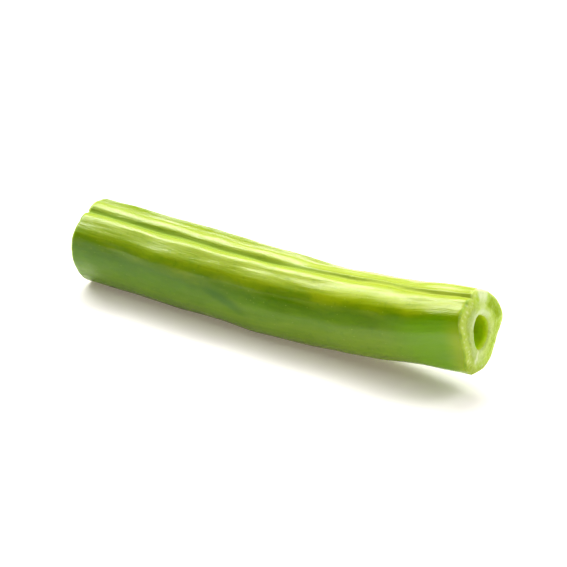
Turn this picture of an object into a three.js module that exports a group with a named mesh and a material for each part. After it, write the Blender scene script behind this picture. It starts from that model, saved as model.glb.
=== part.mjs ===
// A cut length of raw green bean: a piece of pod sliced square at both ends, with a young seed at each end.
// Millimetres, +Z up, z = 0 is the surface that the bean lies on. +X runs along the pod to the lifted end.
// The pod lies on its back rib, so the seam with its groove is on top.
import * as THREE from "three";

// The pod's middle line: straight along X, then bent up towards the right-hand end.
const POD_RUN = 50.8; // from cut to cut, measured along X
const AXIS_HEIGHT = 4.88; // of the straight part, a little less than the pod's depth: the rib is pressed flat
const LIFT_SLOPE = 0.129; // of the lifted end
const BEND_START = 21;
const BEND_END = 39.8;

// The pod's cross section: broad shoulders beside the seam, narrowing to the back rib.
const HALF_WIDTH = 4.27;
const HALF_HEIGHT = 4.52;
const DROP = 0.52; // how much lower the seam lies, and the back rib with it, than on an even oval
const SHOULDERS = 0.14; // share by which the seam side is broader and the back narrower
const FULLNESS = 0.2; // share by which both are fuller
const GIRTH = [[0, 0.99], [14, 1.018], [24, 1.021], [32.5, 0.986], [43, 0.966], [POD_RUN, 0.963]];
const TWIST = [[0, -3], [12, -4], [33, 5.3], [41, 9.5], [POD_RUN, 23]]; // degrees, + turns the seam to +Y

// The seam leans from the section's top to the front: [place along X, radians], below 0 to the front.
const SEAM_LEAN = [[0, -0.15], [29, -0.18], [37, -0.21], [46.3, -0.47], [POD_RUN, -0.53]];

// The seam: a groove with a fine string beside it and a soft lip on each side, measured across the seam.
// The shares are of the full height at places along the pod.
const GROOVE_DEPTH = 0.36;
const GROOVE_HALF_WIDTH = 0.45;
const GROOVE_SHARE = [[0, 1], [22, 1], [29, 0.55], [37, 0.12], [43, 0.18], [47, 0.35], [POD_RUN, 0.55]];
const STRING_HEIGHT = 0.32;
const STRING_PLACE = 0.34;
const STRING_HALF_WIDTH = 0.26;
const STRING_SHARE = [[0, 0.1], [26, 0.1], [34, 0.7], [41, 0.45], [POD_RUN, 0.5]];
const LIP_HEIGHT = 0.22;
const LIP_PLACE = 1.25;
const LIP_HALF_WIDTH = 0.75;
const LIP_SHARE = [[0, 1], [34, 1], [42, 0.4], [POD_RUN, 0.75]];
const RIB_HEIGHT = 0.12; // of the back rib
const RIB_HALF_WIDTH = 0.4;

// Swellings (height above 0) and hollows of the section at the lifted end. Each starts at a place along the
// pod and is at its full height near the cut; angles are measured from the seam.
const END_SWELLS = [
  { height: 0.72, angle: -1, halfAngle: 0.45, start: 31 },
  { height: 0.64, angle: 0.3, halfAngle: 0.3, start: 33 },
  { height: -0.4, angle: 1.1, halfAngle: 0.3, start: 41 },
  { height: -0.95, angle: 2, halfAngle: 0.5, start: 41 },
  { height: -0.5, angle: -2.1, halfAngle: 0.5, start: 43 },
];
const END_SWELLS_FULL = 50;

// Seeds swell the flanks over them.
const SEED_PLACES = [1, 13.2, 24.6, 36, 45.6];
const SWELL_HEIGHT = 0.13;
const SWELL_HALF_LENGTH = 3.6;

// The cut ends: edges rounded over, flesh that stands a little proud, and the end of the string. Heights
// stand out of the cut; places and spans are shares of the way in from the skin to the seed chamber.
const EDGE_ROUND = 0.22;
const SKIN_EDGE_SPAN = 0.05;
const CHAMBER_EDGE_SPAN = 0.08;
const EDGE_BACK = 0.35; // the skin starts to turn in this far behind the edge
const FLESH_BULGE = { height: 0.14, place: 0.35, span: 0.3 };
const STRING_END = { height: 0.1, place: 0.1, span: 0.12, angle: 0.38, halfAngle: 0.15 };
const KNIFE_WAVE = 0.1;
const KNIFE_SKEW = 0.045; // how far each millimetre from the back to the front falls back
const CUT_SLANT = 0.022; // how far each millimetre nearer the seam stands out past the back rib
const CUT_DOME = 0.028; // how far the cut falls back at a millimetre from its middle, growing as the square

// The seed chambers, measured at the cut, with their middles off the pod's middle line.
const CHAMBER_ACROSS = -0.25;
const CHAMBER_UP = -0.3;
const CHAMBER_SHOULDERS = 0.15; // share by which the seam side is broader
const CHAMBER_LEAN = -0.14; // how far across it goes for each millimetre up
const RIGHT_CHAMBER = { halfWidth: 1.46, halfHeight: 1.92, belly: 1.2, bellyAt: 4.6, depth: 8.1 };
const LEFT_CHAMBER = { halfWidth: 1.85, halfHeight: 2.55, belly: 1, bellyAt: 0, depth: 3.8 };
const SEED_CLEARANCE = 0.32;
const RIGHT_SEED_SETBACK = 2.1; // from the cut to the near tip of the seed
const LEFT_SEED_SETBACK = 0.2;
const NAVEL_DEPTH = 0.2; // of the hollow on the seed's side towards the seam
const NAVEL_HALF_ANGLE = 0.45;

// How finely the surfaces are divided.
const SEAM_COLUMNS = [0.13, 0.3, 0.5, 0.75, 1.05, 1.45, 1.95, 2.5]; // distances from the seam's middle
const FLANK_COLUMNS = 23; // on each side, from the seam to the back rib
const POD_RINGS = 30;
const FIRST_RING = 2.1; // from the cut, clear of where it falls back
const CUT_STEPS = [0, 0.05, 0.14, 0.3, 0.5, 0.72, 0.9, 1]; // from the skin in to the chamber
const SEED_COLUMNS = 24;
const SEED_RINGS = 12;

const SEAM_RADIUS = HALF_WIDTH * (1 + SHOULDERS + FULLNESS); // the section's flat radius at the seam
const RIB_RADIUS = HALF_WIDTH * (1 - SHOULDERS + FULLNESS);

// A bell curve of height 1 at zero, down to a third at the half width.
function bell(distance, halfWidth) {
  return Math.exp(-((distance / halfWidth) ** 2));
}

// A smooth value along the pod, through [place, value] stations.
function along(stations, x) {
  const next = Math.max(1, stations.findIndex(([place]) => place >= x));
  const [x0, value0] = stations[next - 1];
  const [x1, value1] = stations[next];
  return THREE.MathUtils.lerp(value0, value1, THREE.MathUtils.smoothstep(x, x0, x1));
}

// Height that the bend has given the middle line by x: the slope grows along a smooth step.
function rise(x) {
  const t = THREE.MathUtils.clamp((x - BEND_START) / (BEND_END - BEND_START), 0, 1);
  const inBend = (BEND_END - BEND_START) * (t ** 3 - t ** 4 / 2);
  return LIFT_SLOPE * (inBend + Math.max(0, x - BEND_END));
}

// A point of the pod: x along it, across and up in its twisted section, and out past the section's plane.
function podPoint(x, across, up, out = 0) {
  const slope = LIFT_SLOPE * THREE.MathUtils.smoothstep(x, BEND_START, BEND_END);
  const forward = new THREE.Vector3(1, 0, slope).normalize();
  const turn = THREE.MathUtils.degToRad(-along(TWIST, x));
  const side = new THREE.Vector3(0, 1, 0).applyAxisAngle(forward, turn);
  const top = new THREE.Vector3().crossVectors(forward, side);
  return new THREE.Vector3(x, 0, AXIS_HEIGHT + rise(x))
    .addScaledVector(side, across)
    .addScaledVector(top, up)
    .addScaledVector(forward, out);
}

// Angle from the section's top, for an angle from the seam. The back rib stays where it is.
function fromTop(angle, x) {
  return angle + along(SEAM_LEAN, x) * (1 - Math.abs(angle) / Math.PI);
}

// Relief of the skin, outwards, at an angle from the seam and a place along the pod.
function relief(angle, x) {
  const offset = angle * SEAM_RADIUS;
  const fromRib = (Math.PI - Math.abs(angle)) * RIB_RADIUS;
  const groove = -GROOVE_DEPTH * along(GROOVE_SHARE, x) * bell(offset, GROOVE_HALF_WIDTH);
  const string = STRING_HEIGHT * along(STRING_SHARE, x) * bell(offset - STRING_PLACE, STRING_HALF_WIDTH);
  const lip = LIP_HEIGHT * along(LIP_SHARE, x) * bell(Math.abs(offset) - LIP_PLACE, LIP_HALF_WIDTH);
  const rib = RIB_HEIGHT * bell(fromRib, RIB_HALF_WIDTH);
  const overSeeds = SEED_PLACES.reduce((sum, place) => sum + bell(x - place, SWELL_HALF_LENGTH), 0);
  const atEnd = END_SWELLS.reduce((sum, swell) => {
    const share = THREE.MathUtils.smoothstep(x, swell.start, END_SWELLS_FULL);
    return sum + swell.height * bell(angle - swell.angle, swell.halfAngle) * share;
  }, 0);
  return groove + string + lip + rib + SWELL_HEIGHT * Math.sin(angle) ** 2 * overSeeds + atEnd;
}

// The skin in the cross section at x: [across, up] at an angle from the seam, which runs from -pi to pi.
function skinSection(angle, x) {
  const turned = fromTop(angle, x);
  const cosine = Math.cos(turned);
  const girth = along(GIRTH, x);
  const across = girth * HALF_WIDTH * Math.sin(turned) * (1 + SHOULDERS * cosine + FULLNESS * cosine ** 2);
  const up = girth * (HALF_HEIGHT * cosine - DROP * cosine ** 2);
  const grown = 1 + relief(angle, x) / Math.hypot(across, up);
  return [across * grown, up * grown];
}

// The wall of a seed chamber, or of the seed in it, at an angle from its top: [across, up].
function chamberSection(angle, halfWidth, halfHeight) {
  const up = halfHeight * Math.cos(angle);
  const across = halfWidth * Math.sin(angle) * (1 + CHAMBER_SHOULDERS * Math.cos(angle)) + CHAMBER_LEAN * up;
  return [CHAMBER_ACROSS + across, CHAMBER_UP + up];
}

// How far the knife's cut stands out of the section's plane, at a place in the section.
function knifeCut(across, up) {
  return KNIFE_SKEW * (across - HALF_WIDTH) + CUT_SLANT * up - CUT_DOME * up ** 2;
}

// How far a point of the cut flesh stands out of that plane, from skin (inward = 0) to chamber (1).
function cutRelief(angle, across, up, inward) {
  const edges = -EDGE_ROUND * (bell(inward, SKIN_EDGE_SPAN) + bell(inward - 1, CHAMBER_EDGE_SPAN));
  const flesh = FLESH_BULGE.height * bell(inward - FLESH_BULGE.place, FLESH_BULGE.span);
  const acrossString = bell(angle - STRING_END.angle, STRING_END.halfAngle);
  const string = STRING_END.height * acrossString * bell(inward - STRING_END.place, STRING_END.span);
  const knife = KNIFE_WAVE * Math.sin(2 * angle + 0.6) * (1 - inward);
  return knifeCut(across, up) + edges + flesh + string + knife;
}

// Angles of the mesh columns, right round from the seam: close together at the seam, even on the flanks.
function columnAngles() {
  const seam = SEAM_COLUMNS.map((distance) => distance / SEAM_RADIUS);
  const flankStart = seam.at(-1);
  const flankStep = (Math.PI - flankStart) / FLANK_COLUMNS;
  const flank = Array.from({ length: FLANK_COLUMNS - 1 }, (_, i) => flankStart + (i + 1) * flankStep);
  const oneSide = [...seam, ...flank];
  return [0, ...oneSide, Math.PI, ...oneSide.map((angle) => -angle).reverse()];
}

// A closed surface through rings of equally many points, closed by one point at each end.
function closedSurface(firstPoint, rings, lastPoint) {
  const columns = rings[0].length;
  const points = [firstPoint, ...rings.flat(), lastPoint];
  const faces = [];
  const at = (ring, column) => 1 + ring * columns + (column % columns);
  for (let column = 0; column < columns; column++) {
    faces.push(0, at(0, column), at(0, column + 1));
    for (let ring = 0; ring < rings.length - 1; ring++) {
      const a = at(ring, column);
      const b = at(ring, column + 1);
      const c = at(ring + 1, column + 1);
      const d = at(ring + 1, column);
      faces.push(a, c, b, a, d, c);
    }
    faces.push(points.length - 1, at(rings.length - 1, column + 1), at(rings.length - 1, column));
  }
  const geometry = new THREE.BufferGeometry().setFromPoints(points);
  geometry.setIndex(faces);
  geometry.computeVertexNormals();
  return geometry;
}

// Size of a chamber's section at a depth behind the cut, as a share of its mouth.
function chamberShare(chamber, depth) {
  if (depth < chamber.bellyAt) {
    return THREE.MathUtils.lerp(1, chamber.belly, THREE.MathUtils.smoothstep(depth, 0, chamber.bellyAt));
  }
  const t = (depth - chamber.bellyAt) / (chamber.depth - chamber.bellyAt);
  return chamber.belly * Math.sqrt(1 - t ** 2);
}

// Depths of a chamber's rings: even down to its belly, then along the round end.
function chamberDepths(chamber) {
  const toBelly = chamber.bellyAt > 0 ? [0.12, 0.35, 0.65].map((share) => share * chamber.bellyAt) : [];
  const roundEnd = [15, 35, 52, 67, 79].map((degrees) => {
    const reach = Math.sin(THREE.MathUtils.degToRad(degrees));
    return chamber.bellyAt + reach * (chamber.depth - chamber.bellyAt);
  });
  return [...toBelly, ...roundEnd];
}

// One cut end as rings from just behind the skin's edge in to the bottom of its chamber. direction is 1 at
// the right-hand end and -1 at the left.
function cutEndRings(angles, x, direction, chamber) {
  const behindEdge = angles.map((angle) => {
    const [across, up] = skinSection(angle, x);
    return podPoint(x, across, up, direction * (cutRelief(angle, across, up, 0) - EDGE_BACK));
  });
  const face = CUT_STEPS.map((inward) =>
    angles.map((angle) => {
      const skin = skinSection(angle, x);
      const wall = chamberSection(fromTop(angle, x), chamber.halfWidth, chamber.halfHeight);
      const across = THREE.MathUtils.lerp(skin[0], wall[0], inward);
      const up = THREE.MathUtils.lerp(skin[1], wall[1], inward);
      return podPoint(x, across, up, direction * cutRelief(angle, across, up, inward));
    }),
  );
  const walls = chamberDepths(chamber).map((depth) => {
    const share = chamberShare(chamber, depth);
    const sizes = [share * chamber.halfWidth, share * chamber.halfHeight];
    return angles.map((angle) => {
      const section = chamberSection(fromTop(angle, x), ...sizes);
      return podPoint(x, ...section, -direction * (EDGE_ROUND + depth));
    });
  });
  return [behindEdge, ...face, ...walls];
}

function beanPod() {
  const angles = columnAngles();
  const skin = Array.from({ length: POD_RINGS }, (_, i) => {
    const x = THREE.MathUtils.lerp(FIRST_RING, POD_RUN - FIRST_RING, i / (POD_RINGS - 1));
    return angles.map((angle) => podPoint(x, ...skinSection(angle, x)));
  });
  const left = cutEndRings(angles, 0, -1, LEFT_CHAMBER).reverse();
  const right = cutEndRings(angles, POD_RUN, 1, RIGHT_CHAMBER);
  const middle = [CHAMBER_ACROSS, CHAMBER_UP];
  const leftBottom = podPoint(0, ...middle, EDGE_ROUND + LEFT_CHAMBER.depth);
  const rightBottom = podPoint(POD_RUN, ...middle, -EDGE_ROUND - RIGHT_CHAMBER.depth);
  const geometry = closedSurface(leftBottom, [...left, ...skin, ...right], rightBottom);
  const position = geometry.getAttribute("position");
  for (let i = 0; i < position.count; i++) {
    position.setZ(i, Math.max(0, position.getZ(i))); // pressed flat where the rib meets the surface
  }
  geometry.computeVertexNormals();
  return geometry;
}

// A seed behind the cut at x, as rings across the pod. Its length is turned into degrees, from 0 at the
// inner tip to 180 at the outer tip. A seed that the knife went through ends before 180, in the cut's form.
function seed(x, direction, setback, halfSizes, endDegrees) {
  const angles = Array.from({ length: SEED_COLUMNS }, (_, i) => (i / SEED_COLUMNS) * 2 * Math.PI);
  const [halfLength, halfWidth, halfHeight] = halfSizes;
  const outerReach = -Math.cos(THREE.MathUtils.degToRad(endDegrees)) * halfLength;
  const place = (turn, across, up) => {
    const reach = -Math.cos(THREE.MathUtils.degToRad(turn)) * halfLength;
    const cut = endDegrees < 180 ? knifeCut(across, up) * (turn / endDegrees) ** 2 : 0;
    return direction * (reach - outerReach - setback + cut);
  };
  const rings = Array.from({ length: SEED_RINGS }, (_, i) => {
    const turn = ((i + 1) / (endDegrees < 180 ? SEED_RINGS : SEED_RINGS + 1)) * endDegrees;
    const share = Math.sin(THREE.MathUtils.degToRad(turn));
    return angles.map((angle) => {
      const fromSeam = Math.min(angle, 2 * Math.PI - angle);
      const navel = NAVEL_DEPTH * bell(fromSeam, NAVEL_HALF_ANGLE) * share ** 4;
      const [across, up] = chamberSection(angle, share * halfWidth, share * halfHeight - navel);
      return podPoint(x, across, up, place(turn, across, up));
    });
  });
  const middle = [CHAMBER_ACROSS, CHAMBER_UP];
  const inner = podPoint(x, ...middle, place(0, ...middle));
  const outer = podPoint(x, ...middle, place(endDegrees, ...middle));
  return direction > 0 ? closedSurface(inner, rings, outer) : closedSurface(outer, rings.reverse(), inner);
}

function rightSeed() {
  const { halfWidth, halfHeight, belly, depth } = RIGHT_CHAMBER;
  const halfLength = (depth + EDGE_ROUND - RIGHT_SEED_SETBACK - SEED_CLEARANCE) / 2;
  const sizes = [halfLength, halfWidth * belly - SEED_CLEARANCE, halfHeight * belly - SEED_CLEARANCE];
  return seed(POD_RUN, 1, RIGHT_SEED_SETBACK, sizes, 180);
}

function leftSeed() {
  const { halfWidth, halfHeight, depth } = LEFT_CHAMBER;
  const halfLength = depth + EDGE_ROUND - LEFT_SEED_SETBACK - SEED_CLEARANCE;
  const sizes = [halfLength, halfWidth - SEED_CLEARANCE, halfHeight - SEED_CLEARANCE];
  return seed(0, -1, LEFT_SEED_SETBACK, sizes, 90);
}

const podMaterial = new THREE.MeshStandardMaterial({ color: 0x7fa52a, roughness: 0.42, metalness: 0 });
const seedMaterial = new THREE.MeshStandardMaterial({ color: 0xb9cf78, roughness: 0.5, metalness: 0 });

const bean = new THREE.Group();
for (const [name, geometry, material] of [
  ["bean_pod", beanPod(), podMaterial],
  ["seed_right", rightSeed(), seedMaterial],
  ["seed_left", leftSeed(), seedMaterial],
]) {
  const piece = new THREE.Mesh(geometry, material);
  piece.name = name;
  bean.add(piece);
}

// The origin is under the middle of the bean, on the surface that it lies on.
const middle = new THREE.Box3().setFromObject(bean).getCenter(new THREE.Vector3());
bean.position.set(-middle.x, -middle.y, 0);

export default bean;
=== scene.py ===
"""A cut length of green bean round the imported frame: skin, cut flesh, seed chambers and two seeds.

Sizes are in millimetres and angles in radians, unless a comment says otherwise, and sizes are turned into
metres where a mesh is made. A list of (place along X, value) pairs gives a value that changes along the pod.
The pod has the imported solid's own middle line, section, seam and knife cuts, at a finer division. Its cut
edges are a little sharper, and it has some fine unevenness.
"""

import math

import bpy
import numpy as np
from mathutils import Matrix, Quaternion, Vector


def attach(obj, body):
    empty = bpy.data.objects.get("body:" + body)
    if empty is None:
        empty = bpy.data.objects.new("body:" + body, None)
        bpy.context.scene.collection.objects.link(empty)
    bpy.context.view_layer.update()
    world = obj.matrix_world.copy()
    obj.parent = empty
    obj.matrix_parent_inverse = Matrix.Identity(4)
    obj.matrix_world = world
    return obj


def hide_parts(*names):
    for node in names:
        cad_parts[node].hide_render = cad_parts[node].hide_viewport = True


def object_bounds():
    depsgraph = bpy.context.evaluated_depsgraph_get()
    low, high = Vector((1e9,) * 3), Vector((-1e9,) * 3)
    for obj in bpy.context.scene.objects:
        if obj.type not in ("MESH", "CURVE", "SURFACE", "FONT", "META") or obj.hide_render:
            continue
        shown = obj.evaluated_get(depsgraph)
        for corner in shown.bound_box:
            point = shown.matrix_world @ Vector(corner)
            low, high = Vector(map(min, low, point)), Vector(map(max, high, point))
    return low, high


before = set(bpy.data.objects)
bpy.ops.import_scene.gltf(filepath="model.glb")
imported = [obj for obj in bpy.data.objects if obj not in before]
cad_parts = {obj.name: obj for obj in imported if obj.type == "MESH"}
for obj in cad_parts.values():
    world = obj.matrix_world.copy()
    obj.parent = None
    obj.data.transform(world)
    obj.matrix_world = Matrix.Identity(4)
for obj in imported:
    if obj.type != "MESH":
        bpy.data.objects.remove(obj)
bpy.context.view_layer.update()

MM = 0.001

# The pod's middle line: straight along X, then bent up towards the right-hand end.
POD_RUN = 50.8  # from cut to cut, measured along X
AXIS_HEIGHT = 4.88  # of the straight part
LIFT_SLOPE = 0.129  # of the lifted end
BEND_START = 21
BEND_END = 39.8

# The pod's cross section, from broad shoulders beside the seam to the narrow back rib.
HALF_WIDTH = 4.27
HALF_HEIGHT = 4.52
DROP = 0.52  # how much lower the seam and the back rib lie than on an even oval
SHOULDERS = 0.14  # share by which the seam side is broader and the back narrower
FULLNESS = 0.2  # share by which both are fuller
GIRTH = [(0, 0.99), (14, 1.018), (24, 1.021), (32.5, 0.986), (43, 0.966), (POD_RUN, 0.963)]
TWIST = [(0, -3), (12, -4), (33, 5.3), (41, 9.5), (POD_RUN, 23)]  # degrees, above 0 turns the seam to +Y
SEAM_RADIUS = HALF_WIDTH * (1 + SHOULDERS + FULLNESS)
RIB_RADIUS = HALF_WIDTH * (1 - SHOULDERS + FULLNESS)

# The seam leans from the section's top to the front, and wanders from side to side in waves, each with a
# size, a wavelength divided by 2 pi, and a phase.
SEAM_LEAN = [(0, -0.15), (29, -0.18), (37, -0.21), (46.3, -0.47), (POD_RUN, -0.53)]
SEAM_WANDER = [(0.09, 5.2, 0.4), (0.05, 2.1, 1.0)]

# Its groove, the fine string beside it and a lip on each side. The shares are of the full height.
GROOVE_DEPTH = 0.36
GROOVE_HALF_WIDTH = 0.45
GROOVE_SHARE = [(0, 1), (22, 1), (29, 0.55), (37, 0.12), (43, 0.18), (47, 0.35), (POD_RUN, 0.55)]
GROOVE_WAVE = 0.1  # share by which its depth varies
GROOVE_WAVELENGTH = 3.1  # divided by 2 pi
STRING_HEIGHT = 0.32
STRING_PLACE = 0.34
STRING_HALF_WIDTH = 0.26
STRING_SHARE = [(0, 0.1), (26, 0.1), (34, 0.7), (41, 0.45), (POD_RUN, 0.5)]
LIP_HEIGHT = 0.22
LIP_PLACE = 1.25
LIP_HALF_WIDTH = 0.75
LIP_SHARE = [(0, 1), (34, 1), (42, 0.4), (POD_RUN, 0.75)]

# The back rib, and the swellings of the flanks over the seeds.
RIB_HEIGHT = 0.1
RIB_HALF_WIDTH = 0.45
SEED_PLACES = [1, 13.2, 24.6, 36, 45.6]
SWELL_HEIGHT = 0.13
SWELL_HALF_LENGTH = 3.6

# Swellings (above 0) and hollows of the section at the lifted end. Each has a height, an angle from the seam,
# a half-angle and the place along X where it starts. All are at their full height at the last value.
END_SWELLS = [
    (0.72, -1.0, 0.45, 31),
    (0.64, 0.3, 0.3, 33),
    (-0.4, 1.1, 0.3, 41),
    (-0.95, 2.0, 0.5, 41),
    (-0.5, -2.1, 0.5, 43),
]
END_SWELLS_FULL = 50

# Ripples are waves in all directions, with wavelengths from one share of their size to another.
RIPPLE_LENGTHS = (0.7, 1.5)

# The skin's unevenness: height, scale along the pod, wavelength and seed of each set of ripples.
SKIN_RIPPLES = [(0.045, 0.6, 4.5, 11), (0.014, 0.45, 1.5, 12), (0.006, 0.06, 0.55, 13)]

# The cut ends. Heights stand out of the cut; spans and places are shares of the way in from the skin (0) to
# the seed chamber (1).
EDGE_ROUND = 0.2
SKIN_EDGE_SPAN = 0.03
CHAMBER_EDGE_SPAN = 0.06
EDGE_BACK = 0.3  # the skin starts to turn in this far behind the edge
BULGE_HEIGHT = 0.12
BULGE_PLACE = 0.35
BULGE_SPAN = 0.3
STRING_END_HEIGHT = 0.1
STRING_END_PLACE = 0.1
STRING_END_SPAN = 0.12
STRING_END_ANGLE = 0.38  # from the seam
STRING_END_HALF_ANGLE = 0.15
KNIFE_WAVE = 0.1
KNIFE_WAVE_PHASE = 0.6
KNIFE_SKEW = 0.045  # how far each millimetre from the back to the front falls back
CUT_SLANT = 0.022  # how far each millimetre nearer the seam stands out past the back rib
CUT_DOME = 0.028  # how far the cut falls back at a millimetre from its middle, growing as the square

# The cut's unevenness: a ragged chamber edge (a share of the wall), roughness of the flesh (height and
# wavelength), and a low step with a furrow at its foot, half way in.
RAGGED_SHARE = 0.012
RAGGED_SIZE = 1.8
RAGGED_SPAN = 0.1
ROUGH_COARSE = (0.03, 1.3)
ROUGH_FINE = (0.022, 0.45)
STEP_HEIGHT = 0.07
STEP_PLACE = 0.5
STEP_END = 0.6
FURROW_DEPTH = 0.05
FURROW_SPAN = 0.05
INNER_PLACE = 0.5  # roughness and step fade from here to both edges
INNER_SPAN = 0.42

# The veins that the knife went through, in a row behind the skin of each cut.
VEIN_COUNT = 34
VEIN_REACH = 2.9  # the last one's angle from the seam
VEIN_ANGLE_SPREAD = 0.03
VEIN_PLACE = 0.2
VEIN_PLACE_SPREAD = 0.05
VEIN_SIZES = (0.7, 1.2)
VEIN_HALF_WIDTH = 0.17
VEIN_SEED = 51
MEAN_RADIUS = 4.4  # of the skin
MEAN_WALL = 2.6  # from the skin to the chamber

# The seed chambers, each a mouth that widens to a belly and closes in a round end. A belly is a share of the
# mouth's size.
CHAMBER_ACROSS = -0.25
CHAMBER_UP = -0.3
CHAMBER_SHOULDERS = 0.15  # share by which the seam side is broader
CHAMBER_LEAN = -0.14  # how far across it goes for each millimetre up
RIGHT_CHAMBER = {
    "half_width": 1.46, "half_height": 1.92, "belly": 1.2, "belly_at": 4.6, "depth": 8.1, "ripple_seed": 21,
}
LEFT_CHAMBER = {
    "half_width": 1.85, "half_height": 2.55, "belly": 1.0, "belly_at": 0.0, "depth": 3.8, "ripple_seed": 31,
}
CHAMBER_ROUGH = (0.02, 1.2)

# The seeds. Each lies behind its cut by a setback, and is held clear of the chamber.
SEED_CLEARANCE = 0.32
RIGHT_SEED_SETBACK = 2.1
LEFT_SEED_SETBACK = 0.2
NAVEL_DEPTH = 0.2
NAVEL_HALF_ANGLE = 0.45
SEED_UNEVEN = 0.012  # share of its size
SEED_UNEVEN_SIZE = 1.4
SEED_UNEVEN_TURN = 20  # degrees from the inner tip that count as a millimetre
SEED_UNEVEN_SEED = 41

# The face of the seed that the knife went through. Spans are shares of the way from its middle to its edge.
FACE_SHRINK = 0.985
FACE_DOME = 0.06
COAT_GROOVE = 0.05  # inside the seed coat
COAT_PLACE = 0.9
COAT_SPAN = 0.04
SPLIT_DEPTH = 0.14  # between its two halves
SPLIT_HALF_WIDTH = 0.09
SPLIT_WANDER = 0.06
SPLIT_WAVELENGTH = 0.5  # divided by 2 pi
SPLIT_START = 0.02
SPLIT_FULL = 0.2
FACE_GRAIN = (0.02, 0.5)
FACE_GRAIN_SEED = 43
FACE_MIDDLE_DIP = 0.08

# How finely the pod and the seeds are divided.
SEAM_REACH = 1.6  # the columns are closer up to here from the seam
SEAM_COLUMNS = 26
FLANK_COLUMNS = 112
POD_RINGS = 204
FIRST_RING = 2.1  # behind the cut
CUT_RINGS = 27
CUT_RING_POWER = 1.15  # above 1, the rings are closer at the skin
CHAMBER_RINGS = 14
BELLY_RINGS = 6  # of them, from the mouth to the belly
LAST_CHAMBER_TURN = 84  # degrees of the round end
SEED_COLUMNS = 72
SEED_RINGS = 44
FACE_RINGS = 18
LAST_FACE_RING = 0.04

# The pod's materials, in their order on the mesh.
SKIN = 0
FLESH = 1
LINING = 2

DEEP = 9  # inward and seam offset at the two points that close the chambers


# ---------------------------------------------------------------- form of the pod

def bell(distance, half_width):
    return np.exp(-((distance / half_width) ** 2))


def smooth(x, start, end):
    t = np.clip((x - start) / (end - start), 0, 1)
    return t * t * (3 - 2 * t)


def along(stations, x):
    """A smooth value along the pod, through (place, value) stations."""
    places, values = (np.array(column, float) for column in zip(*stations))
    i = np.clip(np.searchsorted(places, x) - 1, 0, len(places) - 2)
    return values[i] + (values[i + 1] - values[i]) * smooth(x, places[i], places[i + 1])


def ripples(place, size, seed, waves=20):
    """Irregular waves about one high, with wavelengths round size, at an array of (x, across, up) places."""
    draw = np.random.default_rng(seed)
    directions = draw.normal(size=(waves, 3))
    directions /= np.linalg.norm(directions, axis=1)[:, None]
    lengths = size * draw.uniform(*RIPPLE_LENGTHS, waves)
    phases = draw.uniform(0, 2 * math.pi, waves)
    total = 0
    for direction, length, phase in zip(directions, lengths, phases):
        total = total + np.sin(place @ (direction * 2 * math.pi / length) + phase)
    return total * math.sqrt(2 / waves)


def pod_points(x, across, up, out):
    """Points of the pod from x along it, across and up in its twisted section, and out past the section."""
    slope = LIFT_SLOPE * smooth(x, BEND_START, BEND_END)
    t = np.clip((x - BEND_START) / (BEND_END - BEND_START), 0, 1)
    rise = LIFT_SLOPE * ((BEND_END - BEND_START) * (t**3 - t**4 / 2) + np.maximum(0, x - BEND_END))
    twist = np.radians(along(TWIST, x))
    size = np.sqrt(1 + slope**2)
    nothing = np.zeros_like(x)
    forward = np.stack([1 / size, nothing, slope / size], -1)
    upright = np.stack([-slope / size, nothing, 1 / size], -1)
    sideways = np.array([0.0, 1.0, 0.0])
    side = sideways * np.cos(twist)[..., None] - upright * np.sin(twist)[..., None]
    top = upright * np.cos(twist)[..., None] + sideways * np.sin(twist)[..., None]
    middle = np.stack([x, nothing, AXIS_HEIGHT + rise], -1)
    return middle + side * across[..., None] + top * up[..., None] + forward * out[..., None]


def from_top(angle, x):
    """Turns an angle from the seam into one from the section's top. The rib is opposite the top."""
    return angle + along(SEAM_LEAN, x) * (1 - np.abs(angle) / math.pi)


def seam_offset(angle, x):
    """Distance round the skin from the seam, towards the far side if above 0."""
    wander = sum(size * np.sin(x / length + phase) for size, length, phase in SEAM_WANDER)
    return angle * SEAM_RADIUS - wander


def skin_relief(angle, x, place):
    """Height of the skin over the plain section: the solid's own relief, then the finer unevenness."""
    offset = seam_offset(angle, x)
    from_seam = np.abs(offset)
    from_rib = (math.pi - np.abs(angle)) * RIB_RADIUS
    string_share = along(STRING_SHARE, x)
    groove_share = along(GROOVE_SHARE, x) * (1 + GROOVE_WAVE * np.sin(x / GROOVE_WAVELENGTH))
    relief = -GROOVE_DEPTH * bell(from_seam, GROOVE_HALF_WIDTH) * groove_share
    relief = relief + STRING_HEIGHT * string_share * bell(offset - STRING_PLACE, STRING_HALF_WIDTH)
    relief = relief + LIP_HEIGHT * along(LIP_SHARE, x) * bell(from_seam - LIP_PLACE, LIP_HALF_WIDTH)
    relief = relief + RIB_HEIGHT * bell(from_rib, RIB_HALF_WIDTH)
    swell = sum(bell(x - seed_place, SWELL_HALF_LENGTH) for seed_place in SEED_PLACES)
    relief = relief + SWELL_HEIGHT * np.sin(angle) ** 2 * swell
    for height, swell_angle, half_angle, start in END_SWELLS:
        relief = relief + height * bell(angle - swell_angle, half_angle) * smooth(x, start, END_SWELLS_FULL)
    for height, scale, size, seed in SKIN_RIPPLES:
        relief = relief + height * ripples(place * [scale, 1, 1], size, seed)
    return relief


def skin_section(angle, x):
    """Across and up in the section, for the skin at an angle from the seam."""
    turned = from_top(angle, x)
    cosine = np.cos(turned)
    girth = along(GIRTH, x)
    across = girth * HALF_WIDTH * np.sin(turned) * (1 + SHOULDERS * cosine + FULLNESS * cosine**2)
    up = girth * (HALF_HEIGHT * cosine - DROP * cosine**2)
    place = np.stack([x + 0 * across, across, up], -1)
    grown = 1 + skin_relief(angle, x, place) / np.hypot(across, up)
    return across * grown, up * grown


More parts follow.
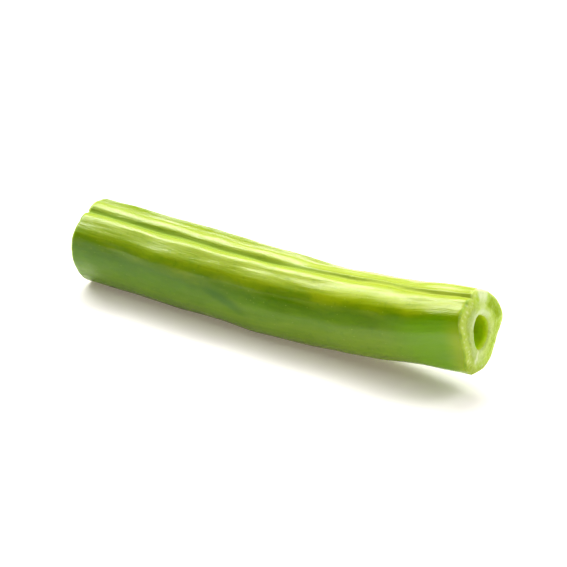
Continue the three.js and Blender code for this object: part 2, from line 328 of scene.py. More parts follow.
def chamber_section(angle, half_width, half_height):
    """Across and up in the section, for a chamber's wall or a seed's skin at an angle from the top."""
    up = half_height * np.cos(angle)
    across = half_width * np.sin(angle) * (1 + CHAMBER_SHOULDERS * np.cos(angle)) + CHAMBER_LEAN * up
    return CHAMBER_ACROSS + across, CHAMBER_UP + up


def chamber_share(chamber, depth):
    """Size of a chamber at a depth behind its mouth, as a share of the mouth's size."""
    widened = smooth(depth, 0, chamber["belly_at"]) if chamber["belly_at"] else 1
    to_belly = 1 + (chamber["belly"] - 1) * widened
    t = np.clip((depth - chamber["belly_at"]) / (chamber["depth"] - chamber["belly_at"]), 0, 1)
    return np.where(depth < chamber["belly_at"], to_belly, chamber["belly"] * np.sqrt(1 - t**2))


def knife_cut(across, up):
    """How far the knife's cut stands out of the section's plane, at a place in the section."""
    return KNIFE_SKEW * (across - HALF_WIDTH) + CUT_SLANT * up - CUT_DOME * up**2


def cut_relief(angle, across, up, inward):
    """How far the cut flesh stands out of that plane, from the skin (inward 0) to the chamber (1)."""
    edges = -EDGE_ROUND * (bell(inward, SKIN_EDGE_SPAN) + bell(inward - 1, CHAMBER_EDGE_SPAN))
    flesh = BULGE_HEIGHT * bell(inward - BULGE_PLACE, BULGE_SPAN)
    at_string = bell(angle - STRING_END_ANGLE, STRING_END_HALF_ANGLE)
    string = STRING_END_HEIGHT * at_string * bell(inward - STRING_END_PLACE, STRING_END_SPAN)
    knife = KNIFE_WAVE * np.sin(2 * angle + KNIFE_WAVE_PHASE) * (1 - inward)
    return knife_cut(across, up) + edges + flesh + string + knife


def cut_roughness(across, up, inward, seed):
    """The fine unevenness of the cut flesh, with its low step."""
    place = np.stack([0 * across, across, up], -1)
    coarse = ROUGH_COARSE[0] * ripples(place, ROUGH_COARSE[1], seed)
    fine = ROUGH_FINE[0] * ripples(place, ROUGH_FINE[1], seed + 1)
    furrow = FURROW_DEPTH * bell(inward - STEP_PLACE, FURROW_SPAN)
    step = STEP_HEIGHT * smooth(inward, STEP_PLACE, STEP_END) - furrow
    return (coarse + fine + step) * bell(inward - INNER_PLACE, INNER_SPAN)


def column_angles():
    """Angles from the seam of the pod's columns, all round, closer beside the seam."""
    seam = np.linspace(0, SEAM_REACH, SEAM_COLUMNS, endpoint=False)[1:] / SEAM_RADIUS
    flank = np.linspace(SEAM_REACH / SEAM_RADIUS, math.pi, FLANK_COLUMNS, endpoint=False)
    one_side = np.concatenate([seam, flank])
    return np.concatenate([[0], one_side, [math.pi], -one_side[::-1]])


def chamber_depths(chamber):
    """Depths of a chamber's rings behind the mouth: evenly to the belly, then round the closed end."""
    belly_at = chamber["belly_at"]
    to_belly = np.linspace(0, belly_at, BELLY_RINGS + 1)[1:] if belly_at else np.zeros(0)
    turns = np.radians(np.linspace(0, LAST_CHAMBER_TURN, CHAMBER_RINGS - len(to_belly) + 1)[1:])
    return np.concatenate([to_belly, belly_at + (chamber["depth"] - belly_at) * np.sin(turns)])


class Rings:
    """Rings of points of the pod, with what the materials read at each point, from one end to the other."""

    def __init__(self, angles):
        self.angles = angles
        self.points = []
        self.place = []
        self.inward = []
        self.kind = []

    def add(self, x, across, up, out, inward, kind):
        x = x + 0 * self.angles
        self.points.append(pod_points(x, across, up, out + 0 * self.angles))
        self.place.append(np.stack([x + out, across, up], -1))
        self.inward.append(inward + 0 * self.angles)
        self.kind.append(kind)


def cut_end(angles, x, direction, chamber):
    """What Rings.add takes for each ring of an end, from behind the skin's edge to the chamber's end."""
    skin = skin_section(angles, x + 0 * angles)
    turned = from_top(angles, x + 0 * angles)
    mouth = chamber_section(turned, chamber["half_width"], chamber["half_height"])
    # Each set of ripples has a seed of its own. The flesh takes the first two.
    flesh_seed = chamber["ripple_seed"]
    chamber_seed = flesh_seed + 2
    ragged_seed = flesh_seed + 5
    rings = [(x, *skin, direction * (cut_relief(angles, *skin, 0) - EDGE_BACK), 0, SKIN)]
    for inward in np.linspace(0, 1, CUT_RINGS) ** CUT_RING_POWER:
        ragged = RAGGED_SHARE * ripples(np.stack([0 * angles, *skin], -1), RAGGED_SIZE, ragged_seed)
        share = inward + ragged * bell(inward - 1, RAGGED_SPAN)
        across = skin[0] + (mouth[0] - skin[0]) * share
        up = skin[1] + (mouth[1] - skin[1]) * share
        rough = cut_roughness(across, up, inward, flesh_seed)
        out = cut_relief(angles, across, up, inward) + rough
        rings.append((x, across, up, direction * out, inward, FLESH))
    for depth in chamber_depths(chamber):
        share = chamber_share(chamber, depth)
        across, up = chamber_section(turned, share * chamber["half_width"], share * chamber["half_height"])
        place = np.stack([depth + 0 * across, across, up], -1)
        uneven = CHAMBER_ROUGH[0] * ripples(place, CHAMBER_ROUGH[1], chamber_seed)
        across = across + uneven * np.sin(turned)
        up = up + uneven * np.cos(turned)
        shallow = 1 - depth / chamber["depth"]
        out = knife_cut(*mouth) * shallow - EDGE_ROUND - depth
        rings.append((x, across, up, direction * out, 1 + depth, LINING))
    return rings


def vein_share(angles, inward, kind):
    """How far each point of a cut's ring lies in one of the veins that the knife went through."""
    if kind != FLESH:
        return 0 * angles
    draw = np.random.default_rng(VEIN_SEED)
    share = 0 * angles
    for even_angle in np.linspace(-VEIN_REACH, VEIN_REACH, VEIN_COUNT):
        vein_angle = even_angle + draw.normal() * VEIN_ANGLE_SPREAD
        vein_inward = VEIN_PLACE + VEIN_PLACE_SPREAD * draw.normal()
        half_width = VEIN_HALF_WIDTH * draw.uniform(*VEIN_SIZES)
        round_skin = (angles - vein_angle) * MEAN_RADIUS
        into_flesh = (inward - vein_inward) * MEAN_WALL
        share = np.maximum(share, bell(round_skin, half_width) * bell(into_flesh, half_width))
    return share


def closed_faces(ring_count, columns):
    """Faces of a closed surface: rings of points, between a first and a last point that close it."""
    ring = np.arange(ring_count - 1)[:, None] * columns + 1
    here = np.arange(columns)[None, :]
    after = (here + 1) % columns
    corners = [ring + here, ring + columns + here, ring + columns + after, ring + after]
    quads = np.stack(corners, -1).reshape(-1, 4)
    last = ring_count * columns + 1
    start = last - columns
    first_fan = [(0, 1 + i, 1 + (i + 1) % columns) for i in range(columns)]
    last_fan = [(last, start + (i + 1) % columns, start + i) for i in range(columns)]
    return first_fan + quads.tolist() + last_fan


def add_mesh(name, points, faces, materials):
    """A smooth-shaded object in the scene, from points in millimetres."""
    mesh = bpy.data.meshes.new(name)
    mesh.from_pydata((np.asarray(points) * MM).tolist(), [], faces)
    for material in materials:
        mesh.materials.append(material)
    mesh.shade_smooth()
    piece = bpy.data.objects.new(name, mesh)
    bpy.context.scene.collection.objects.link(piece)
    return piece


def add_attribute(mesh, name, kind, values):
    layer = mesh.attributes.new(name, kind, "POINT")
    field = "vector" if kind == "FLOAT_VECTOR" else "value"
    layer.data.foreach_set(field, np.asarray(values, np.float32).ravel())


def face_kinds(ring_kinds, columns):
    """The material of each face. A row between two kinds of ring is skin beside the skin, else lining."""
    before = ring_kinds[:-1]
    after = ring_kinds[1:]
    between = np.maximum(before, after)
    between[(np.minimum(before, after) == SKIN) & (between == FLESH)] = SKIN
    fan = np.full(columns, LINING)
    return np.concatenate([fan, np.repeat(between, columns), fan]).astype(np.int32)


def make_pod(materials):
    """The pod, and the middle of its box before it is moved to the frame's origin."""
    angles = column_angles()
    columns = len(angles)
    rings = Rings(angles)
    for ring in cut_end(angles, 0.0, -1, LEFT_CHAMBER)[::-1]:
        rings.add(*ring)
    for x in np.linspace(FIRST_RING, POD_RUN - FIRST_RING, POD_RINGS):
        across, up = skin_section(angles, x + 0 * angles)
        rings.add(x, across, up, 0, 0, SKIN)
    for ring in cut_end(angles, POD_RUN, 1, RIGHT_CHAMBER):
        rings.add(*ring)

    end_places = []
    end_points = []
    for x, direction, chamber in ((0.0, -1, LEFT_CHAMBER), (POD_RUN, 1, RIGHT_CHAMBER)):
        out = -direction * (EDGE_ROUND + chamber["depth"])
        end_places.append([x + out, CHAMBER_ACROSS, CHAMBER_UP])
        end_points.append(pod_points(*np.array([[x], [CHAMBER_ACROSS], [CHAMBER_UP], [out]]))[0])
    points = np.concatenate([end_points[:1], *rings.points, end_points[1:]])
    points[:, 2] = np.maximum(points[:, 2], 0)
    middle = (points.min(0) + points.max(0)) / 2
    points = points - [middle[0], middle[1], 0]

    pod = add_mesh("pod", points, closed_faces(len(rings.points), columns), materials)
    pod.data.polygons.foreach_set("material_index", face_kinds(np.array(rings.kind), columns))

    ring_count = len(rings.points)
    place = np.concatenate([end_places[:1], *rings.place, end_places[1:]])
    inward = np.concatenate([[DEEP], *rings.inward, [DEEP]])
    turn = np.tile(np.abs(angles) / math.pi, ring_count)
    side = np.tile(np.sin(angles), ring_count)
    veins = [vein_share(angles, ring_inward[0], kind) for ring_inward, kind in zip(rings.inward, rings.kind)]
    offset = np.concatenate([seam_offset(angles, ring_place[:, 0]) for ring_place in rings.place])
    add_attribute(pod.data, "pod_place", "FLOAT_VECTOR", place)
    add_attribute(pod.data, "inward", "FLOAT", inward)
    add_attribute(pod.data, "turn", "FLOAT", np.concatenate([[0.5], turn, [0.5]]))
    add_attribute(pod.data, "side", "FLOAT", np.concatenate([[0], side, [0]]))
    add_attribute(pod.data, "vein", "FLOAT", np.concatenate([[0], *veins, [0]]))
    add_attribute(pod.data, "seam_offset", "FLOAT", np.concatenate([[DEEP], offset, [DEEP]]))
    return pod, middle


def seed_section(angles, half_width, half_height, dent):
    """Across and up round a seed, with its navel on the seam side at a share of the full depth."""
    from_seam = np.minimum(angles, 2 * math.pi - angles)
    navel = dent * NAVEL_DEPTH * bell(from_seam, NAVEL_HALF_ANGLE)
    return chamber_section(angles, half_width, half_height - navel)


def face_relief(across, up, share):
    """How far the cut face of a seed stands out, at a share of the way from its middle to its edge."""
    from_split = across - CHAMBER_ACROSS - SPLIT_WANDER * np.sin(up / SPLIT_WAVELENGTH)
    split = SPLIT_DEPTH * bell(from_split, SPLIT_HALF_WIDTH) * smooth(1 - share, SPLIT_START, SPLIT_FULL)
    grain = FACE_GRAIN[0] * ripples(np.stack([0 * across, across, up], -1), FACE_GRAIN[1], FACE_GRAIN_SEED)
    coat = COAT_GROOVE * bell(share - COAT_PLACE, COAT_SPAN)
    return FACE_DOME * (1 - share**2) - split + grain - coat


def make_seed(name, x, direction, setback, half_sizes, whole, middle, materials):
    """A seed behind the cut at x, whole, or sliced through its middle with the cut face towards the end.

    Turns are in degrees, from its inner tip.
    """
    angles = np.linspace(0, 2 * math.pi, SEED_COLUMNS, endpoint=False)
    half_length, half_width, half_height = half_sizes
    end_turn = 180 if whole else 90
    outer_reach = -math.cos(math.radians(end_turn)) * half_length
    turns = np.linspace(0, end_turn, SEED_RINGS + (2 if whole else 1))[1:SEED_RINGS + 1]
    rings = []
    place = []

    def out_at(turn, across, up):
        cut = 0 if whole else knife_cut(across, up) * (turn / end_turn) ** 2
        return direction * (-math.cos(math.radians(turn)) * half_length - outer_reach - setback + cut)

    def add(across, up, out, on_face):
        rings.append(pod_points(x + 0 * across, across, up, out + 0 * across))
        place.append(np.stack([across - CHAMBER_ACROSS, up - CHAMBER_UP, on_face + 0 * across], -1))

    for turn in turns:
        share = math.sin(math.radians(turn))
        across, up = seed_section(angles, share * half_width, share * half_height, share**4)
        spot = np.stack([0 * across + turn / SEED_UNEVEN_TURN, across, up], -1)
        uneven = 1 + SEED_UNEVEN * ripples(spot, SEED_UNEVEN_SIZE, SEED_UNEVEN_SEED)
        across = CHAMBER_ACROSS + (across - CHAMBER_ACROSS) * uneven
        up = CHAMBER_UP + (up - CHAMBER_UP) * uneven
        add(across, up, out_at(turn, across, up), 0)
    face_shares = [] if whole else np.linspace(1, LAST_FACE_RING, FACE_RINGS)
    for share in face_shares:
        across, up = seed_section(angles, half_width, half_height, 1)
        across = CHAMBER_ACROSS + (across - CHAMBER_ACROSS) * share * FACE_SHRINK
        up = CHAMBER_UP + (up - CHAMBER_UP) * share * FACE_SHRINK
        add(across, up, out_at(end_turn, across, up) + direction * face_relief(across, up, share), 1)

    inner_out = out_at(0, CHAMBER_ACROSS, CHAMBER_UP)
    outer_out = out_at(end_turn, CHAMBER_ACROSS, CHAMBER_UP) - direction * (0 if whole else FACE_MIDDLE_DIP)
    inner, outer = (
        pod_points(*np.array([[x], [CHAMBER_ACROSS], [CHAMBER_UP], [out]])) for out in (inner_out, outer_out)
    )
    points = np.concatenate([inner, *rings, outer]) - [middle[0], middle[1], 0]
    faces = closed_faces(len(rings), SEED_COLUMNS)
    if direction < 0:
        faces = [tuple(reversed(face)) for face in faces]
    piece = add_mesh(name, points, faces, materials)
    place = np.concatenate([[[0, 0, 0]], *place, [[0, 0, 0 if whole else 1]]])
    add_attribute(piece.data, "seed_place", "FLOAT_VECTOR", place)
    return piece


# ---------------------------------------------------------------- materials

# Colours are linear red, green and blue. Those of the skin go from the seam (0) round to the back (1).
# The skin's own colour, paler by the seam, with painted light: a painted glow of the highlight beside the
# seam, and below the highlight a darker band that is partly painted shade.
SKIN_ROUND_AND_SHADING = [
    (0.0, (0.37, 0.46, 0.03)),
    (0.14, (0.38, 0.46, 0.03)),
    (0.26, (0.31, 0.39, 0.004)),
    (0.36, (0.185, 0.285, 0.0)),
    (0.44, (0.118, 0.222, 0.0)),
    (0.53, (0.155, 0.280, 0.0)),
    (0.65, (0.21, 0.335, 0.01)),
    (0.8, (0.205, 0.325, 0.01)),
    (1.0, (0.24, 0.33, 0.02)),
]
DARK_STREAK = (0.09, 0.24, 0.0)
PALE_STREAK = (0.42, 0.56, 0.02)
DARK_MOTTLE = (0.08, 0.2, 0.0)
PALE_SPECK = (0.5, 0.62, 0.12)
# Painted shade towards the left end.
LEFT_SHADE_GREEN = (0.03, 0.15, 0.0)
# Painted shade of a slight undulation in the front flank.
DIP_SHADE_GREEN = (0.045, 0.14, 0.01)
# Painted light below the highlight at the lifted end.
LIFTED_PAINTED_LIGHT_GREEN = (0.168, 0.35, 0.0)
# Paler lips beside the seam, with a painted highlight.
LIP_PALE_AND_HIGHLIGHT = (0.50, 0.60, 0.12)
# The groove's own darker colour, with painted shade in it.
GROOVE_GREEN_AND_SHADE = (0.20, 0.33, 0.0)
# Painted glow at the skin's edge by the right-hand cut.
NEAR_CUT_GLOW_GREEN = (0.32, 0.42, 0.0)

# The flesh on the front and the far side of a cut, from the skin (0) in to the chamber (1).
FRONT_FLESH = [
    (0.0, (0.25, 0.38, 0.01)),
    (0.07, (0.44, 0.56, 0.05)),
    (0.35, (0.43, 0.55, 0.07)),
    (0.46, (0.35, 0.46, 0.03)),
    (0.58, (0.42, 0.53, 0.15)),
    (1.0, (0.42, 0.54, 0.15)),
]
FAR_FLESH = [
    (0.0, (0.60, 0.70, 0.20)),
    (0.12, (0.52, 0.65, 0.10)),
    (0.22, (0.42, 0.59, 0.04)),
    (0.62, (0.47, 0.62, 0.08)),
    (0.86, (0.54, 0.67, 0.17)),
    (1.0, (0.55, 0.66, 0.20)),
]
DARK_GRAIN = (0.30, 0.46, 0.03)
PALE_GRAIN = (0.68, 0.76, 0.40)
VEIN_GREEN = (0.74, 0.80, 0.46)
WEDGE_GREEN = (0.31, 0.45, 0.0)
STRAND_GREEN = (0.70, 0.78, 0.45)
BAR_GREEN = (0.62, 0.71, 0.40)
HEEL_GREEN = (0.31, 0.42, 0.0)

# The lining, the seeds and the surface, by how light a cloudy noise is.
LINING_CLOUDS = [(0.3, (0.52, 0.63, 0.005)), (0.7, (0.62, 0.74, 0.02))]
MOUTH_GREEN = (0.60, 0.68, 0.25)
SEED_COAT_CLOUDS = [(0.3, (0.36, 0.50, 0.12)), (0.7, (0.52, 0.64, 0.24))]
SEED_INSIDE_CLOUDS = [(0.3, (0.42, 0.55, 0.14)), (0.7, (0.58, 0.68, 0.28))]
SURFACE_CLOUDS = [(0.3, (0.89, 0.89, 0.88)), (0.7, (0.92, 0.92, 0.91))]
SURFACE_GLOW = (1.0, 0.8, 0.76)
SURFACE_GLOW_STRENGTH = 0.18

# How strong reflections are: in general, in the skin's dull band, and on the surface.
SPECULAR = 0.4
DULL_SPECULAR = 0.12
SURFACE_SPECULAR = 0.2
COAT_ROUGHNESS = 0.3

# Painted shade of a slight undulation on the front flank: where its middle line is, and how far the line
# turns in a millimetre.
DIP_SHADE_X = 20.3
DIP_SHADE_TURN = 0.49
DIP_SHADE_SLANT = 0.03

STRAND_OFFSET = 2.1  # of the pale strand in the cut, from the seam towards the far side

NOISE_MIDDLE = 0.5

# Sockets of the Mix node that are for colours.
MIX_FIRST = 6
MIX_SECOND = 7
MIX_RESULT = 2


class Shader:
    """Adds nodes to one material. Each call returns the socket that it makes."""

    def __init__(self, name):
        self.material = bpy.data.materials.new(name)
        self.material.use_nodes = True
        self.nodes = self.material.node_tree.nodes
        self.links = self.material.node_tree.links
        self.surface = next(node for node in self.nodes if node.type == "BSDF_PRINCIPLED").inputs

    def put(self, socket, value):
        """Gives a socket another socket's value, a number, or a colour of three numbers."""
        if isinstance(value, bpy.types.NodeSocket):
            self.links.new(value, socket)
        elif isinstance(value, tuple):
            socket.default_value = (*value, 1)
        else:
            socket.default_value = value

    def attribute(self, name, output="Fac"):
        node = self.nodes.new("ShaderNodeAttribute")
        node.attribute_name = name
        return node.outputs[output]

    def scaled(self, vector, amounts):
        node = self.nodes.new("ShaderNodeVectorMath")
        node.operation = "MULTIPLY"
        self.put(node.inputs[0], vector)
        node.inputs[1].default_value = amounts
        return node.outputs[0]

    def noise(self, vector, scale, detail, roughness=0.55):
        node = self.nodes.new("ShaderNodeTexNoise")
        self.put(node.inputs["Vector"], vector)
        node.inputs["Scale"].default_value = scale
        node.inputs["Detail"].default_value = detail
        node.inputs["Roughness"].default_value = roughness
        return node.outputs["Fac"]

    def cells(self, vector, scale):
        node = self.nodes.new("ShaderNodeTexVoronoi")
        self.put(node.inputs["Vector"], vector)
        node.inputs["Scale"].default_value = scale
        return node.outputs["Distance"]

    def step(self, value, start, end, low=0.0, high=1.0):
        """Smoothly from low at start to high at end. Start may be above end."""
        node = self.nodes.new("ShaderNodeMapRange")
        node.interpolation_type = "SMOOTHSTEP"
        for socket, number in zip(node.inputs, (value, start, end, low, high)):
            self.put(socket, number)
        return node.outputs[0]

    def band(self, value, rise, fall):
        """Up from 0 to 1 over one (start, end), and down again over another, given from its far end."""
        return self.times(self.step(value, *rise), self.step(value, *fall))

    def math(self, operation, a, b=0.0):
        node = self.nodes.new("ShaderNodeMath")
        node.operation = operation
        self.put(node.inputs[0], a)
        self.put(node.inputs[1], b)
        return node.outputs[0]

    def times(self, first, *others):
        product = first
        for other in others:
            product = self.math("MULTIPLY", product, other)
        return product

    def distance(self, value, centre):
        return self.math("ABSOLUTE", self.math("SUBTRACT", value, centre))

    def drift(self, noise, amount):
        """A noise turned into a value about 0."""
        return self.times(self.math("SUBTRACT", noise, NOISE_MIDDLE), amount)

    def ramp(self, value, stops):
        node = self.nodes.new("ShaderNodeValToRGB")
        self.put(node.inputs[0], value)
        elements = node.color_ramp.elements
        for place, _ in stops[len(elements):]:
            elements.new(place)
        for element, (place, colour) in zip(elements, stops):
            element.position = place
            element.color = (*colour, 1)
        return node.outputs[0]

    def mix(self, share, a, b):
        """The colour a, with a share of b."""
        node = self.nodes.new("ShaderNodeMix")
        node.data_type = "RGBA"
        self.put(node.inputs[0], share)
        self.put(node.inputs[MIX_FIRST], a)
        self.put(node.inputs[MIX_SECOND], b)
        return node.outputs[MIX_RESULT]

    def split(self, vector):
        node = self.nodes.new("ShaderNodeSeparateXYZ")
        self.put(node.inputs[0], vector)
        return node.outputs

    def bump(self, height, distance, normal=None):
        """A normal with bumps that are a distance in millimetres high where the height goes from 0 to 1."""
        node = self.nodes.new("ShaderNodeBump")
        node.inputs["Distance"].default_value = distance * MM
        self.put(node.inputs["Height"], height)
        if normal is not None:
            self.put(node.inputs["Normal"], normal)
        return node.outputs[0]

    def finish(self, colour, roughness, normal, subsurface, radius, specular=SPECULAR, coat=0.0):
        """Sets the surface. The radius is how far red, green and blue light go into it, in millimetres."""
        self.put(self.surface["Base Color"], colour)
        self.put(self.surface["Roughness"], roughness)
        self.put(self.surface["Normal"], normal)
        self.put(self.surface["Specular IOR Level"], specular)
        self.surface["Subsurface Weight"].default_value = subsurface
        self.surface["Subsurface Radius"].default_value = radius
        self.surface["Subsurface Scale"].default_value = MM
        self.surface["Coat Weight"].default_value = coat
        self.surface["Coat Roughness"].default_value = COAT_ROUGHNESS
        return self.material


def skin_material():
    s = Shader("bean_skin")
    place = s.attribute("pod_place", "Vector")
    x = s.split(place)[0]
    turn = s.attribute("turn")
    gap = s.math("ABSOLUTE", s.attribute("seam_offset"))
    long_place = s.scaled(place, (0.12, 1, 1))

    # Bands of colour from the seam to the back, which lie nearer the seam at the lifted end. They are the
    # skin's own colour with painted light: a painted glow beside the seam, and below the highlight a darker
    # band that is partly painted shade.
    lowered = s.math("ADD", turn, s.step(x, 36, 48, low=0.035, high=0.085))
    blotches = s.noise(s.scaled(place, (0.45, 1, 1)), scale=0.5, detail=4)
    base = s.ramp(s.math("ADD", lowered, s.drift(blotches, 0.3)), SKIN_ROUND_AND_SHADING)

    # Streaks along the pod, mottling and pale specks. Painted shade makes the skin darker towards the left.
    streaks = s.noise(long_place, scale=2.4, detail=5, roughness=0.6)
    base = s.mix(s.step(streaks, 0.42, 0.75, high=0.22), base, DARK_STREAK)
    base = s.mix(s.step(streaks, 0.4, 0.2, high=0.18), base, PALE_STREAK)
    mottle = s.noise(place, scale=1.4, detail=5, roughness=0.65)
    base = s.mix(s.step(mottle, 0.52, 0.75, high=0.35), base, DARK_MOTTLE)
    cells = s.cells(s.scaled(place, (0.7, 1, 1)), scale=1.7)
    base = s.mix(s.step(cells, 0.13, 0.04, high=0.4), base, PALE_SPECK)
    base = s.mix(s.step(x, 0, 44, low=0.34, high=0), base, LEFT_SHADE_GREEN)

    # Painted shade of a slight undulation in the flank, on the front only.
    slanted = s.math("ADD", s.times(s.math("SUBTRACT", DIP_SHADE_X, x), DIP_SHADE_SLANT), turn)
    dip_shade = s.times(
        s.step(s.distance(slanted, DIP_SHADE_TURN), 0.075, 0.01),
        s.band(x, (17.0, 19.2), (23.8, 21.2)),
        s.step(s.attribute("side"), 0.0, -0.3),
        0.5,
    )
    base = s.mix(dip_shade, base, DIP_SHADE_GREEN)

    # Painted light: at the lifted end, the flank below the highlight is painted one even, lighter green over
    # the painted band of shade.
    lifted = s.times(s.step(x, 39.5, 46), s.step(lowered, 0.34, 0.43), 0.85)
    base = s.mix(lifted, base, LIFTED_PAINTED_LIGHT_GREEN)

    # The paler lips with a painted highlight on them, and the groove, darker in its own colour and with
    # painted shade.
    base = s.mix(s.times(s.band(gap, (0.3, 0.9), (2.6, 1.2)), 0.4), base, LIP_PALE_AND_HIGHLIGHT)
    groove_share = s.math("ADD", s.step(x, 27, 34, low=1, high=0.1), s.step(x, 39, 44, high=0.05))
    base = s.mix(s.times(s.step(gap, 0.55, 0.15, high=0.5), groove_share), base, GROOVE_GREEN_AND_SHADE)
    # Painted glow: the skin's edge by the right-hand cut is yellower, as if lit through.
    near_cut_glow = s.times(s.step(x, 47.6, 50.2), s.step(turn, 0.3, 0.5, low=0.35, high=0.8))
    base = s.mix(near_cut_glow, base, NEAR_CUT_GLOW_GREEN)

    # The groove is rougher. A band of the flank, and the upper flank past the bend, reflect less.
    by_mottle = s.step(mottle, 0.3, 0.7, low=0.19, high=0.27)
    in_groove = s.step(gap, 0.5, 0.15, low=0.19, high=0.6)
    roughness = s.math("MAXIMUM", by_mottle, in_groove)
    dull = s.times(s.band(lowered, (0.33, 0.41), (0.57, 0.48)), s.step(x, 14, 30, low=0.3))
    faded = s.times(s.band(turn, (0.1, 0.18), (0.4, 0.32)), s.step(x, 30, 34), s.step(x, 47.5, 45, high=0.8))
    specular = s.step(s.math("MAXIMUM", dull, faded), 0, 1, low=SPECULAR, high=DULL_SPECULAR)

    coarse_bumps = s.bump(s.noise(long_place, scale=5, detail=3), distance=0.04)
    fine = s.noise(s.scaled(place, (0.25, 1, 1)), scale=9, detail=3)
    normal = s.bump(fine, distance=0.012, normal=coarse_bumps)
    return s.finish(base, roughness, normal, subsurface=0.15, radius=(0.5, 0.9, 0.1), specular=specular)


def flesh_material():
    s = Shader("bean_flesh")
    place = s.attribute("pod_place", "Vector")
    x = s.split(place)[0]
    turn = s.attribute("turn")
    inward = s.attribute("inward")
    far_side = s.step(s.attribute("side"), -0.35, 0.35)
    at_right = s.step(x, 20, 30)

    # Bands of colour from the skin in to the chamber.
    wavy = s.math("ADD", inward, s.drift(s.noise(place, scale=0.8, detail=3), 0.3))
    base = s.mix(far_side, s.ramp(wavy, FRONT_FLESH), s.ramp(wavy, FAR_FLESH))
    grain = s.noise(place, scale=3.2, detail=5, roughness=0.7)
    base = s.mix(s.step(grain, 0.52, 0.75, high=0.55), base, DARK_GRAIN)
    base = s.mix(s.step(grain, 0.45, 0.3, high=0.4), base, PALE_GRAIN)
    base = s.mix(s.times(s.attribute("vein"), 0.6), base, VEIN_GREEN)

    # A greener wedge on the far side of the right-hand cut.
    wedge = s.times(
        s.band(turn, (0.17, 0.21), (0.46, 0.40)),
        s.band(inward, (0.08, 0.18), (0.7, 0.55)),
        far_side,
        at_right,
    )
    base = s.mix(wedge, base, WEDGE_GREEN)

    # The pale strand that comes in from beside the seam, and the pale keel above the back rib.
    from_strand = s.distance(s.attribute("seam_offset"), STRAND_OFFSET)
    strand = s.times(s.step(from_strand, 1.1, 0.5), s.step(inward, 0.25, 0.6, low=0.85, high=0.35))
    keel = s.times(
        s.step(turn, 0.86, 0.92),
        s.step(inward, 0.3, 0.5, high=0.8),
        s.step(far_side, 0.4, 0.1, low=0.3),
    )
    base = s.mix(s.math("MAXIMUM", strand, keel), base, STRAND_GREEN)

    # A pale bar over the right-hand chamber, and a darker heel at the back of each cut.
    bar = s.times(s.step(inward, 0.7, 0.82), s.step(turn, 0.36, 0.26), at_right, 0.6)
    base = s.mix(bar, base, BAR_GREEN)
    heel = s.times(s.step(turn, 0.78, 0.88), s.step(inward, 0.34, 0.18, high=0.75))
    base = s.mix(heel, base, HEEL_GREEN)
    normal = s.bump(grain, distance=0.14)
    return s.finish(base, roughness=0.5, normal=normal, subsurface=0.4, radius=(0.7, 0.9, 0.2))


def lining_material():
    s = Shader("chamber_lining")
    place = s.attribute("pod_place", "Vector")
    base = s.ramp(s.noise(place, scale=1.2, detail=4), LINING_CLOUDS)
    base = s.mix(s.step(s.attribute("inward"), 1.5, 1.0, high=0.3), base, MOUTH_GREEN)
    normal = s.bump(s.noise(place, scale=3, detail=4), distance=0.1)
    return s.finish(base, roughness=0.35, normal=normal, subsurface=0.9, radius=(2.0, 2.6, 0.3))


def seed_material():
    s = Shader("seed_coat")
    place = s.attribute("seed_place", "Vector")
    on_face = s.split(place)[2]
    coat = s.ramp(s.noise(place, scale=1.3, detail=4), SEED_COAT_CLOUDS)
    inside = s.ramp(s.noise(place, scale=2.5, detail=4), SEED_INSIDE_CLOUDS)
    base = s.mix(on_face, coat, inside)
    normal = s.bump(s.noise(place, scale=5, detail=4), distance=0.06)
    return s.finish(base, roughness=0.35, normal=normal, subsurface=0.5, radius=(0.9, 1.2, 0.4), coat=0.15)


def surface_material():
    s = Shader("white_surface")
    place = s.nodes.new("ShaderNodeTexCoord").outputs["Object"]
    grain = s.noise(place, scale=900, detail=2)
    s.put(s.surface["Base Color"], s.ramp(grain, SURFACE_CLOUDS))
    s.put(s.surface["Roughness"], 0.6)
    s.put(s.surface["Specular IOR Level"], SURFACE_SPECULAR)
    s.put(s.surface["Emission Color"], SURFACE_GLOW)
    s.put(s.surface["Emission Strength"], SURFACE_GLOW_STRENGTH)
    return s.material


# ---------------------------------------------------------------- stage, light and camera

# In metres and degrees.
VIEW_AZIMUTH = 32.0
VIEW_ELEVATION = 28.0
VIEW_DISTANCE = 0.6
VIEW_SHARE = 0.78  # of the picture's width that the bean fills
SENSOR = 36.0  # mm
CLIP_START = 0.05
CLIP_END = 20

FLOOR_HALF = 3.0
FLOOR_DROP = 0.00002  # keeps the floor clear of the pod's flat strip
WORLD_STRENGTH = 0.13
LIGHT_COLOUR = (1.0, 0.99, 0.975)
DOWN = (0, 0, -1)
SIDE_LIGHT_AZIMUTH = 122
SIDE_LIGHT_ELEVATION = 42
SIDE_LIGHT_DISTANCE = 0.6


def direction_from(azimuth, elevation):
    """Unit vector towards a place at an azimuth (0 is the front, -Y, and 90 the right, +X) and elevation."""
    a = math.radians(azimuth)
    e = math.radians(elevation)
    return Vector((math.sin(a) * math.cos(e), -math.cos(a) * math.cos(e), math.sin(e)))


def add_softbox(name, place, size, watts, facing, spin=0):
    """A rectangular light at a place, facing along a direction and spun by degrees about it."""
    data = bpy.data.lights.new(name, "AREA")
    data.shape = "RECTANGLE"
    data.size, data.size_y = size
    data.energy = watts
    data.color = LIGHT_COLOUR
    light = bpy.data.objects.new(name, data)
    light.location = place
    light.rotation_mode = "QUATERNION"
    turned = Quaternion((0, 0, 1), math.radians(spin))
    light.rotation_quaternion = (-Vector(facing)).to_track_quat("Z", "Y") @ turned
    light.visible_camera = False
    bpy.context.scene.collection.objects.link(light)


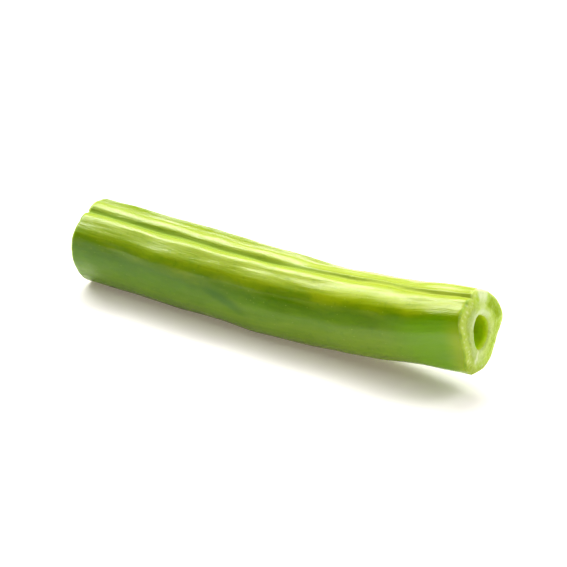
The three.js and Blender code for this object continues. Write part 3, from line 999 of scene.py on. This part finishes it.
def add_lights():
    side_place = direction_from(SIDE_LIGHT_AZIMUTH, SIDE_LIGHT_ELEVATION) * SIDE_LIGHT_DISTANCE
    add_softbox("overhead", place=(-0.298, 0.194, 0.5), size=(0.75, 0.25), watts=5.6, facing=DOWN, spin=37)
    add_softbox("ceiling", place=(-0.05, 0.08, 0.52), size=(1.3, 0.84), watts=2.7, facing=DOWN)
    add_softbox("side", place=side_place, size=(0.28, 0.28), watts=1.2, facing=-side_place)


def add_stage():
    """The white surface that the bean lies on, and the white world."""
    corners = [(-FLOOR_HALF, -FLOOR_HALF, 0), (FLOOR_HALF, -FLOOR_HALF, 0)]
    corners += [(FLOOR_HALF, FLOOR_HALF, 0), (-FLOOR_HALF, FLOOR_HALF, 0)]
    mesh = bpy.data.meshes.new("floor")
    mesh.from_pydata(corners, [], [(0, 1, 2, 3)])
    mesh.materials.append(surface_material())
    floor = bpy.data.objects.new("floor", mesh)
    floor.location.z = -FLOOR_DROP
    bpy.context.scene.collection.objects.link(floor)
    world = bpy.data.worlds.new("studio")
    world.use_nodes = True
    background = world.node_tree.nodes["Background"]
    background.inputs["Color"].default_value = (1, 1, 1, 1)
    background.inputs["Strength"].default_value = WORLD_STRENGTH
    bpy.context.scene.world = world


def add_camera():
    """A camera that looks at the middle of the part, with a lens that gives it its share of the width."""
    low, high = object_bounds()
    azimuth = math.radians(VIEW_AZIMUTH)
    wide = (high.x - low.x) * math.cos(azimuth) + (high.y - low.y) * math.sin(azimuth)
    data = bpy.data.cameras.new("camera")
    data.sensor_width = SENSOR
    data.lens = SENSOR * VIEW_DISTANCE / (wide / VIEW_SHARE)
    data.clip_start = CLIP_START
    data.clip_end = CLIP_END
    camera = bpy.data.objects.new("camera", data)
    back = direction_from(VIEW_AZIMUTH, VIEW_ELEVATION)
    camera.location = (low + high) / 2 + back * VIEW_DISTANCE
    camera.rotation_mode = "QUATERNION"
    camera.rotation_quaternion = back.to_track_quat("Z", "Y")
    bpy.context.scene.collection.objects.link(camera)
    bpy.context.scene.camera = camera


# ---------------------------------------------------------------- the bean

pod, pod_middle = make_pod([skin_material(), flesh_material(), lining_material()])
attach(pod, "root")
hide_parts("bean_pod")

# Half the length, width and height of each seed. The cut one's half-length is all that is left of it.
right_half_sizes = (
    (RIGHT_CHAMBER["depth"] + EDGE_ROUND - RIGHT_SEED_SETBACK - SEED_CLEARANCE) / 2,
    RIGHT_CHAMBER["half_width"] * RIGHT_CHAMBER["belly"] - SEED_CLEARANCE,
    RIGHT_CHAMBER["half_height"] * RIGHT_CHAMBER["belly"] - SEED_CLEARANCE,
)
left_half_sizes = (
    LEFT_CHAMBER["depth"] + EDGE_ROUND - LEFT_SEED_SETBACK - SEED_CLEARANCE,
    LEFT_CHAMBER["half_width"] - SEED_CLEARANCE,
    LEFT_CHAMBER["half_height"] - SEED_CLEARANCE,
)
seed_skin = [seed_material()]
whole_seed = make_seed(
    "whole_seed", POD_RUN, 1, RIGHT_SEED_SETBACK, right_half_sizes, True, pod_middle, seed_skin
)
cut_seed = make_seed(
    "cut_seed", 0.0, -1, LEFT_SEED_SETBACK, left_half_sizes, False, pod_middle, seed_skin
)
for piece, node in ((whole_seed, "seed_right"), (cut_seed, "seed_left")):
    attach(piece, "root")
    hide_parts(node)

add_camera()
add_stage()
add_lights()

bpy.context.scene.view_settings.view_transform = "Standard"
bpy.context.scene.view_settings.look = "Medium High Contrast"
bpy.context.scene.cycles.use_denoising = True
